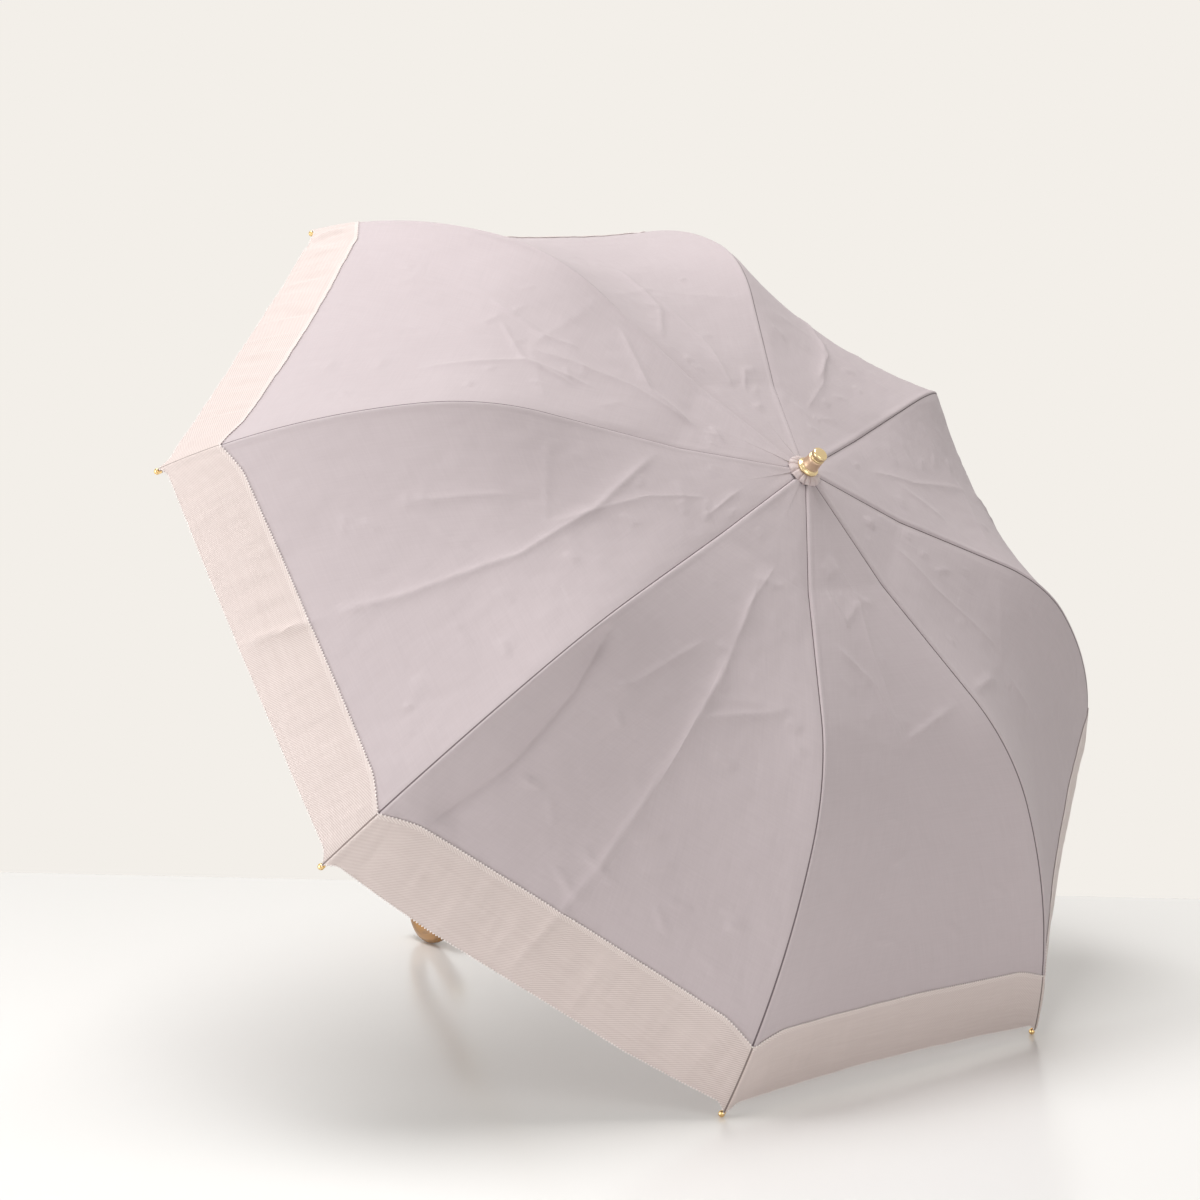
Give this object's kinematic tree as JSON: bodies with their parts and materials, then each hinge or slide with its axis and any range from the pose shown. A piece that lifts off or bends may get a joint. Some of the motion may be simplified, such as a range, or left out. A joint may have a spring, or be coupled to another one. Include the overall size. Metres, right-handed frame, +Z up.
{
  "type": "folding umbrella",
  "caption": "Two-section folding parasol with a wide bordered cloth, sprung ribs that fold at an elbow, a telescopic shaft, a gold ferrule and a bent crook handle.",
  "frame": {"origin": "on the ground under the middle of the open umbrella's box as it stands on two rib tips and its crook", "axes": "+Z up; +X along the widest span of the open cloth, across the symmetry plane of the shaft; -Y is the way the ferrule points as seen from above"},
  "size_m": [0.8008, 0.624, 0.634],
  "materials": {
    "cloth": "plain woven mauve-grey cloth, matt, with a pinkish ribbed border",
    "rib_steel": "plated steel channel",
    "champagne_gold": "polished champagne gold plate",
    "rose_gold": "satin pale rose gold",
    "handle_wood": "varnished golden brown bent wood",
    "tube_metal": "anodised pale gold tube",
    "moulding": "moulded nylon in a champagne tone"
  },
  "bodies": {
    "upper_shaft": {"upper_tube": "tube_metal", "top_notch": "moulding", "notch_wire": "tube_metal", "fabric_rosette": "cloth", "ferrule_base": "champagne_gold", "ferrule_barrel": "rose_gold", "ferrule_cap": "champagne_gold", "tube_lock": "moulding"},
    "lower_shaft": {"lower_tube": "tube_metal", "tube_plug": "moulding", "handle_collar": "champagne_gold", "handle": "handle_wood", "handle_end_cap": "handle_wood"},
    "shaft_button": {"shaft_button": "moulding"},
    "runner": {"runner": "moulding"},
    "runner_button": {"runner_button": "moulding"},
    "inner_rib_1": {"inner_rib_1": "rib_steel", "canopy_inner_1": "cloth"},
    "outer_rib_1": {"outer_rib_1": "rib_steel", "canopy_outer_1": "cloth"},
    "strut_1": {"strut_1": "rib_steel"},
    "inner_rib_2": {"inner_rib_2": "rib_steel", "canopy_inner_2": "cloth"},
    "outer_rib_2": {"outer_rib_2": "rib_steel", "canopy_outer_2": "cloth"},
    "strut_2": {"strut_2": "rib_steel"},
    "inner_rib_3": {"inner_rib_3": "rib_steel", "canopy_inner_3": "cloth"},
    "outer_rib_3": {"outer_rib_3": "rib_steel", "canopy_outer_3": "cloth"},
    "strut_3": {"strut_3": "rib_steel"},
    "inner_rib_4": {"inner_rib_4": "rib_steel", "canopy_inner_4": "cloth"},
    "outer_rib_4": {"outer_rib_4": "rib_steel", "canopy_outer_4": "cloth"},
    "strut_4": {"strut_4": "rib_steel"},
    "inner_rib_5": {"inner_rib_5": "rib_steel", "canopy_inner_5": "cloth"},
    "outer_rib_5": {"outer_rib_5": "rib_steel", "canopy_outer_5": "cloth"},
    "strut_5": {"strut_5": "rib_steel"},
    "inner_rib_6": {"inner_rib_6": "rib_steel", "canopy_inner_6": "cloth"},
    "outer_rib_6": {"outer_rib_6": "rib_steel", "canopy_outer_6": "cloth"},
    "strut_6": {"strut_6": "rib_steel"},
    "inner_rib_7": {"inner_rib_7": "rib_steel", "canopy_inner_7": "cloth"},
    "outer_rib_7": {"outer_rib_7": "rib_steel", "canopy_outer_7": "cloth"},
    "strut_7": {"strut_7": "rib_steel"},
    "inner_rib_8": {"inner_rib_8": "rib_steel", "canopy_inner_8": "cloth"},
    "outer_rib_8": {"outer_rib_8": "rib_steel", "canopy_outer_8": "cloth"},
    "strut_8": {"strut_8": "rib_steel"}
  },
  "joints": [
    {"name": "runner_slide", "type": "slide", "parent": "upper_shaft", "child": "runner", "axis": [0, 0.7821, -0.6232], "range_m": [0, 0.13896]},
    {"name": "shaft_slide", "type": "slide", "parent": "upper_shaft", "child": "lower_shaft", "axis": [0, -0.7821, 0.6232], "range_m": [0, 0.212]},
    {"name": "shaft_button_press", "type": "slide", "parent": "upper_shaft", "child": "shaft_button", "axis": [-1, 0, 0], "range_m": [0, 0.0012], "stiffness_N_per_m": 600},
    {"name": "runner_button_press", "type": "slide", "parent": "runner", "child": "runner_button", "axis": [-1, 0, 0], "range_m": [0, 0.0012], "stiffness_N_per_m": 600},
    {"name": "rib_1", "type": "hinge", "parent": "upper_shaft", "child": "inner_rib_1", "pos_m": [-0.00186, -0.17726, 0.4436], "axis": [-0.9239, -0.2385, -0.2993], "range_deg": [0, 79.5], "deforming": ["canopy_inner_1"]},
    {"name": "elbow_1", "type": "hinge", "parent": "inner_rib_1", "child": "outer_rib_1", "pos_m": [-0.09873, -0.00453, 0.60067], "axis": [0.9239, 0.2385, 0.2993], "range_deg": [0, 207], "deforming": ["canopy_outer_1"]},
    {"name": "strut_1", "type": "hinge", "parent": "inner_rib_1", "child": "strut_1", "pos_m": [-0.04147, -0.1041, 0.5076], "axis": [0.9239, 0.2385, 0.2993], "range_deg": [0, 131.47]},
    {"name": "rib_2", "type": "hinge", "parent": "upper_shaft", "child": "inner_rib_2", "pos_m": [-0.00689, -0.17952, 0.44077], "axis": [-0.3827, -0.5758, -0.7225], "range_deg": [0, 79.5], "deforming": ["canopy_inner_2"]},
    {"name": "elbow_2", "type": "hinge", "parent": "inner_rib_2", "child": "outer_rib_2", "pos_m": [-0.23836, -0.09155, 0.49147], "axis": [0.3827, 0.5758, 0.7225], "range_deg": [0, 207], "deforming": ["canopy_outer_2"]},
    {"name": "strut_2", "type": "hinge", "parent": "inner_rib_2", "child": "strut_2", "pos_m": [-0.10253, -0.14128, 0.46095], "axis": [0.3827, 0.5758, 0.7225], "range_deg": [0, 131.47]},
    {"name": "rib_3", "type": "hinge", "parent": "upper_shaft", "child": "inner_rib_3", "pos_m": [-0.00789, -0.18333, 0.43598], "axis": [0.3827, -0.5758, -0.7225], "range_deg": [0, 79.5], "deforming": ["canopy_inner_3"]},
    {"name": "elbow_3", "type": "hinge", "parent": "inner_rib_3", "child": "outer_rib_3", "pos_m": [-0.23836, -0.21461, 0.33704], "axis": [-0.3827, 0.5758, 0.7225], "range_deg": [0, 207], "deforming": ["canopy_outer_3"]},
    {"name": "strut_3", "type": "hinge", "parent": "inner_rib_3", "child": "strut_3", "pos_m": [-0.10353, -0.19447, 0.3942], "axis": [-0.3827, 0.5758, 0.7225], "range_deg": [0, 131.47]},
    {"name": "rib_4", "type": "hinge", "parent": "upper_shaft", "child": "inner_rib_4", "pos_m": [-0.00426, -0.18647, 0.43204], "axis": [0.9239, -0.2385, -0.2993], "range_deg": [0, 79.5], "deforming": ["canopy_inner_4"]},
    {"name": "elbow_4", "type": "hinge", "parent": "inner_rib_4", "child": "outer_rib_4", "pos_m": [-0.09873, -0.30162, 0.22784], "axis": [-0.9239, 0.2385, 0.2993], "range_deg": [0, 207], "deforming": ["canopy_outer_4"]},
    {"name": "strut_4", "type": "hinge", "parent": "inner_rib_4", "child": "strut_4", "pos_m": [-0.04388, -0.23252, 0.34645], "axis": [-0.9239, 0.2385, 0.2993], "range_deg": [0, 131.47]},
    {"name": "rib_5", "type": "hinge", "parent": "upper_shaft", "child": "inner_rib_5", "pos_m": [0.00186, -0.18709, 0.43127], "axis": [0.9239, 0.2385, 0.2993], "range_deg": [0, 79.5], "deforming": ["canopy_inner_5"]},
    {"name": "elbow_5", "type": "hinge", "parent": "inner_rib_5", "child": "outer_rib_5", "pos_m": [0.09873, -0.30162, 0.22784], "axis": [-0.9239, -0.2385, -0.2993], "range_deg": [0, 207], "deforming": ["canopy_outer_5"]},
    {"name": "strut_5", "type": "hinge", "parent": "inner_rib_5", "child": "strut_5", "pos_m": [0.04147, -0.23314, 0.34567], "axis": [-0.9239, -0.2385, -0.2993], "range_deg": [0, 131.47]},
    {"name": "rib_6", "type": "hinge", "parent": "upper_shaft", "child": "inner_rib_6", "pos_m": [0.00689, -0.18483, 0.4341], "axis": [0.3827, 0.5758, 0.7225], "range_deg": [0, 79.5], "deforming": ["canopy_inner_6"]},
    {"name": "elbow_6", "type": "hinge", "parent": "inner_rib_6", "child": "outer_rib_6", "pos_m": [0.23836, -0.21461, 0.33704], "axis": [-0.3827, -0.5758, -0.7225], "range_deg": [0, 207], "deforming": ["canopy_outer_6"]},
    {"name": "strut_6", "type": "hinge", "parent": "inner_rib_6", "child": "strut_6", "pos_m": [0.10253, -0.19596, 0.39232], "axis": [-0.3827, -0.5758, -0.7225], "range_deg": [0, 131.47]},
    {"name": "rib_7", "type": "hinge", "parent": "upper_shaft", "child": "inner_rib_7", "pos_m": [0.00789, -0.18101, 0.43889], "axis": [-0.3827, 0.5758, 0.7225], "range_deg": [0, 79.5], "deforming": ["canopy_inner_7"]},
    {"name": "elbow_7", "type": "hinge", "parent": "inner_rib_7", "child": "outer_rib_7", "pos_m": [0.23836, -0.09155, 0.49147], "axis": [0.3827, -0.5758, -0.7225], "range_deg": [0, 207], "deforming": ["canopy_outer_7"]},
    {"name": "strut_7", "type": "hinge", "parent": "inner_rib_7", "child": "strut_7", "pos_m": [0.10353, -0.14277, 0.45907], "axis": [0.3827, -0.5758, -0.7225], "range_deg": [0, 131.47]},
    {"name": "rib_8", "type": "hinge", "parent": "upper_shaft", "child": "inner_rib_8", "pos_m": [0.00426, -0.17788, 0.44283], "axis": [-0.9239, 0.2385, 0.2993], "range_deg": [0, 79.5], "deforming": ["canopy_inner_8"]},
    {"name": "elbow_8", "type": "hinge", "parent": "inner_rib_8", "child": "outer_rib_8", "pos_m": [0.09873, -0.00453, 0.60067], "axis": [0.9239, -0.2385, -0.2993], "range_deg": [0, 207], "deforming": ["canopy_outer_8"]},
    {"name": "strut_8", "type": "hinge", "parent": "inner_rib_8", "child": "strut_8", "pos_m": [0.04388, -0.10472, 0.50682], "axis": [0.9239, -0.2385, -0.2993], "range_deg": [0, 131.47]}
  ],
  "couplings": [
    {"joint": "rib_1", "follows": "runner_slide", "rad_per_m": 9.9852},
    {"joint": "elbow_1", "follows": "runner_slide", "rad_per_m": 25.999},
    {"joint": "strut_1", "follows": "runner_slide", "rad_per_m": 16.513},
    {"joint": "rib_2", "follows": "runner_slide", "rad_per_m": 9.9852},
    {"joint": "elbow_2", "follows": "runner_slide", "rad_per_m": 25.999},
    {"joint": "strut_2", "follows": "runner_slide", "rad_per_m": 16.513},
    {"joint": "rib_3", "follows": "runner_slide", "rad_per_m": 9.9852},
    {"joint": "elbow_3", "follows": "runner_slide", "rad_per_m": 25.999},
    {"joint": "strut_3", "follows": "runner_slide", "rad_per_m": 16.513},
    {"joint": "rib_4", "follows": "runner_slide", "rad_per_m": 9.9852},
    {"joint": "elbow_4", "follows": "runner_slide", "rad_per_m": 25.999},
    {"joint": "strut_4", "follows": "runner_slide", "rad_per_m": 16.513},
    {"joint": "rib_5", "follows": "runner_slide", "rad_per_m": 9.9852},
    {"joint": "elbow_5", "follows": "runner_slide", "rad_per_m": 25.999},
    {"joint": "strut_5", "follows": "runner_slide", "rad_per_m": 16.513},
    {"joint": "rib_6", "follows": "runner_slide", "rad_per_m": 9.9852},
    {"joint": "elbow_6", "follows": "runner_slide", "rad_per_m": 25.999},
    {"joint": "strut_6", "follows": "runner_slide", "rad_per_m": 16.513},
    {"joint": "rib_7", "follows": "runner_slide", "rad_per_m": 9.9852},
    {"joint": "elbow_7", "follows": "runner_slide", "rad_per_m": 25.999},
    {"joint": "strut_7", "follows": "runner_slide", "rad_per_m": 16.513},
    {"joint": "rib_8", "follows": "runner_slide", "rad_per_m": 9.9852},
    {"joint": "elbow_8", "follows": "runner_slide", "rad_per_m": 25.999},
    {"joint": "strut_8", "follows": "runner_slide", "rad_per_m": 16.513}
  ]
}
